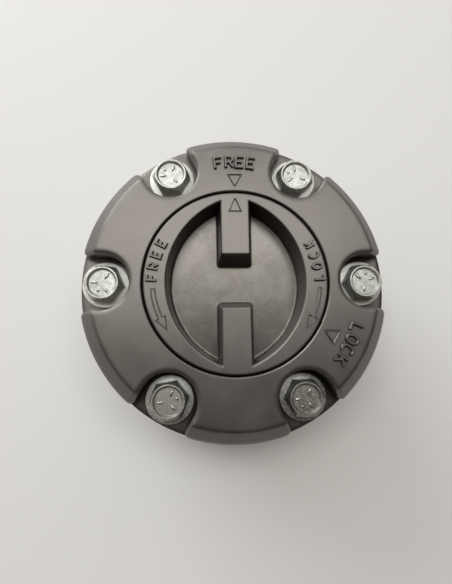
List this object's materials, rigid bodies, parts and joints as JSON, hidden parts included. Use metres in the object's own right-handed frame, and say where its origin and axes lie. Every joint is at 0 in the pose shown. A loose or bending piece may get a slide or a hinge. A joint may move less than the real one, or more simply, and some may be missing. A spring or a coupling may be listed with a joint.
{
  "type": "manual locking hub",
  "caption": "Round manual locking hub: a turn knob in a bolted cover slides a toothed clutch ring that couples the axle's inner hub to the hub body.",
  "frame": {"origin": "centre of the spigot's rear end, on the axle's axis, where the hub rests when it stands on its rear end", "axes": "+Z along the axle out of the front face, +Y towards the FREE mark on the cover, +X to the right seen from the front"},
  "size_m": [0.1192, 0.1192, 0.0616],
  "materials": {
    "painted_casting": "satin warm grey paint over a fine cast grain",
    "machined_body": "phosphated, machined faces",
    "zinc_plate": "bright zinc plate",
    "steel": "oiled, machined",
    "spring_steel": "blackened",
    "bronze": "sintered",
    "rubber": "matte",
    "gasket": "fibre sheet"
  },
  "bodies": {
    "housing": {"cover": "painted_casting", "hub_body": "machined_body", "cover_bolts": "zinc_plate", "cover_gasket": "gasket", "rear_gasket": "gasket", "knob_washer": "steel", "hub_ring": "bronze", "inner_hub_spacer": "steel", "rear_washer": "steel", "hub_ring_snap_ring": "spring_steel"},
    "knob": {"control_knob": "painted_casting", "knob_seal_ring": "rubber", "knob_snap_ring": "spring_steel", "detent_ball": "steel", "detent_spring": "spring_steel"},
    "clutch": {"clutch_ring": "steel", "cam_follower": "steel", "tension_spring": "spring_steel", "compression_spring": "spring_steel"},
    "axle_drive": {"inner_hub": "steel", "inner_hub_snap_ring": "spring_steel"}
  },
  "joints": [
    {"name": "knob_turn", "type": "hinge", "parent": "housing", "child": "knob", "pos_m": [0, 0, 0.045], "axis": [0, 0, 1], "range_deg": [-120, 0]},
    {"name": "clutch_slide", "type": "slide", "parent": "housing", "child": "clutch", "axis": [0, 0, 1], "range_m": [-0.009, 0], "deforming": ["compression_spring"]},
    {"name": "inner_hub_spin", "type": "hinge", "parent": "housing", "child": "axle_drive", "pos_m": [0, 0, 0.008], "axis": [0, 0, 1], "continuous": true}
  ],
  "couplings": [
    {"joint": "clutch_slide", "follows": "knob_turn", "m_per_rad": 0.0042972}
  ]
}
